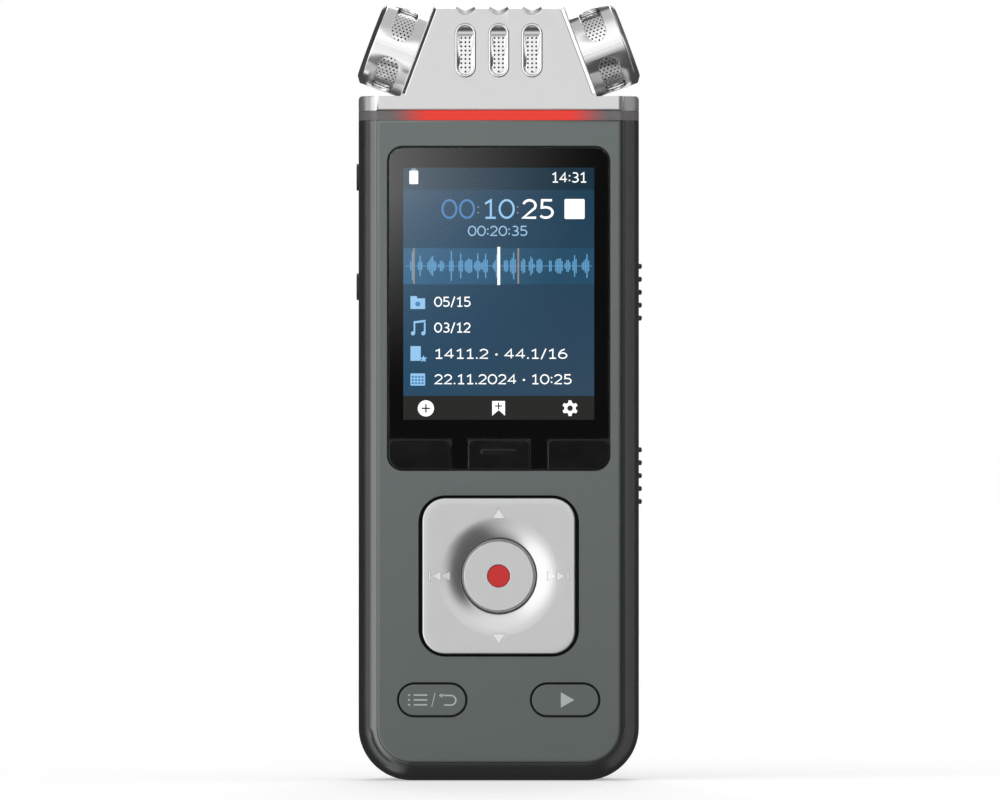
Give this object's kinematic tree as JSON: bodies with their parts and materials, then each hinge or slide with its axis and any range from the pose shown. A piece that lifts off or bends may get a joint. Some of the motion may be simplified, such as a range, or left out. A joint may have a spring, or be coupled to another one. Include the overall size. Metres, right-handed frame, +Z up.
{
  "type": "handheld voice recorder",
  "caption": "Upright pocket voice recorder with bevelled case, colour screen, soft keys, rocker pad, side sliders and slotted drum microphones on a silver crown.",
  "frame": {"origin": "middle of the flat bottom end, where the recorder stands upright", "axes": "+Z up towards the microphones, the face looks along -Y, +X to the right as seen from the front"},
  "size_m": [0.0459, 0.0195, 0.125],
  "materials": {
    "dark_metal_paint": "satin metallic paint",
    "face_paint": "fine metallic paint, satin",
    "dark_plastic": "fine texture",
    "black_plastic": "matte",
    "light_guide": "clear smoky light guide, lit red",
    "led": "gloss",
    "satin_silver": "satin silver",
    "polished_silver": "polished",
    "grille_metal": "fine perforated",
    "capsule_metal": "satin",
    "black_rubber": "matte",
    "window_glass": "gloss",
    "screen": "lit screen",
    "steel": "satin",
    "flex": "satin",
    "key_gloss_black": "gloss",
    "pad_silver": "satin metallic",
    "grey_silicone": "matte",
    "record_red": "satin",
    "film": "satin",
    "circuit_green": "solder mask",
    "battery_foil": "matte foil",
    "lead_red": "satin",
    "black_cloth": "fine weave",
    "brass": "turned"
  },
  "bodies": {
    "case": {"side_frame": "dark_metal_paint", "front_plate": "face_paint", "rear_cover": "dark_plastic", "inner_frame": "black_plastic", "light_bar": "light_guide", "light_bar_leds": "led", "crown_shell": "satin_silver", "crown_carrier": "black_plastic", "front_grilles": "grille_metal", "left_mic_drum": "polished_silver", "right_mic_drum": "polished_silver", "left_drum_mesh": "grille_metal", "right_drum_mesh": "grille_metal", "left_drum_cap": "polished_silver", "right_drum_cap": "polished_silver", "left_mic_capsule": "capsule_metal", "right_mic_capsule": "capsule_metal", "center_mic_capsule": "capsule_metal", "mic_boots": "black_rubber", "display_window": "window_glass", "display_mask": "black_plastic", "lcd_panel": "screen", "lcd_frame": "steel", "lcd_flex": "flex", "dome_sheet": "film", "snap_domes": "steel", "main_board": "circuit_green", "board_shield": "steel", "board_chips": "black_plastic", "battery": "battery_foil", "battery_tape": "film", "battery_lead": "lead_red", "loudspeaker": "black_plastic", "speaker_gasket": "black_rubber", "speaker_cloth": "black_cloth", "headphone_jack": "black_plastic", "microphone_jack": "black_plastic", "usb_port": "steel", "card_socket": "steel", "hold_switch": "steel", "mode_switch": "steel", "tripod_insert": "brass", "case_screws": "steel", "crown_screws": "steel", "mic_flex": "flex"},
    "soft_key_left": {"soft_key_left": "key_gloss_black"},
    "soft_key_center": {"soft_key_center": "key_gloss_black"},
    "soft_key_right": {"soft_key_right": "key_gloss_black"},
    "menu_button": {"menu_button": "face_paint"},
    "play_button": {"play_button": "face_paint"},
    "record_button": {"record_button": "pad_silver", "record_dot": "record_red"},
    "nav_ring": {"nav_rocker_ring": "grey_silicone"},
    "nav_pad": {"nav_pad": "pad_silver"},
    "hold_slider": {"hold_slider": "dark_plastic"},
    "mode_slider": {"mode_slider": "dark_plastic"}
  },
  "joints": [
    {"name": "soft_left_press", "type": "slide", "parent": "case", "child": "soft_key_left", "axis": [0, 1, 0], "range_m": [0, 0.00025], "stiffness_N_per_m": 200},
    {"name": "soft_center_press", "type": "slide", "parent": "case", "child": "soft_key_center", "axis": [0, 1, 0], "range_m": [0, 0.00025], "stiffness_N_per_m": 200},
    {"name": "soft_right_press", "type": "slide", "parent": "case", "child": "soft_key_right", "axis": [0, 1, 0], "range_m": [0, 0.00025], "stiffness_N_per_m": 200},
    {"name": "menu_press", "type": "slide", "parent": "case", "child": "menu_button", "axis": [0, 1, 0], "range_m": [0, 0.00025], "stiffness_N_per_m": 200},
    {"name": "play_press", "type": "slide", "parent": "case", "child": "play_button", "axis": [0, 1, 0], "range_m": [0, 0.00025], "stiffness_N_per_m": 200},
    {"name": "record_press", "type": "slide", "parent": "case", "child": "record_button", "axis": [0, 1, 0], "range_m": [0, 0.00025], "stiffness_N_per_m": 200},
    {"name": "nav_tilt_left_right", "type": "hinge", "parent": "case", "child": "nav_ring", "pos_m": [0, -0.0055, 0.03285], "axis": [0, 0, 1], "range_deg": [-1.2, 1.2], "stiffness_Nm_per_rad": 0.5},
    {"name": "nav_tilt_up_down", "type": "hinge", "parent": "nav_ring", "child": "nav_pad", "pos_m": [0, -0.0055, 0.03285], "axis": [1, 0, 0], "range_deg": [-1.2, 1.2], "stiffness_Nm_per_rad": 0.5},
    {"name": "hold_slide", "type": "slide", "parent": "case", "child": "hold_slider", "axis": [0, 0, 1], "range_m": [-0.002, 0.002]},
    {"name": "mode_slide", "type": "slide", "parent": "case", "child": "mode_slider", "axis": [0, 0, 1], "range_m": [-0.002, 0.002]}
  ]
}
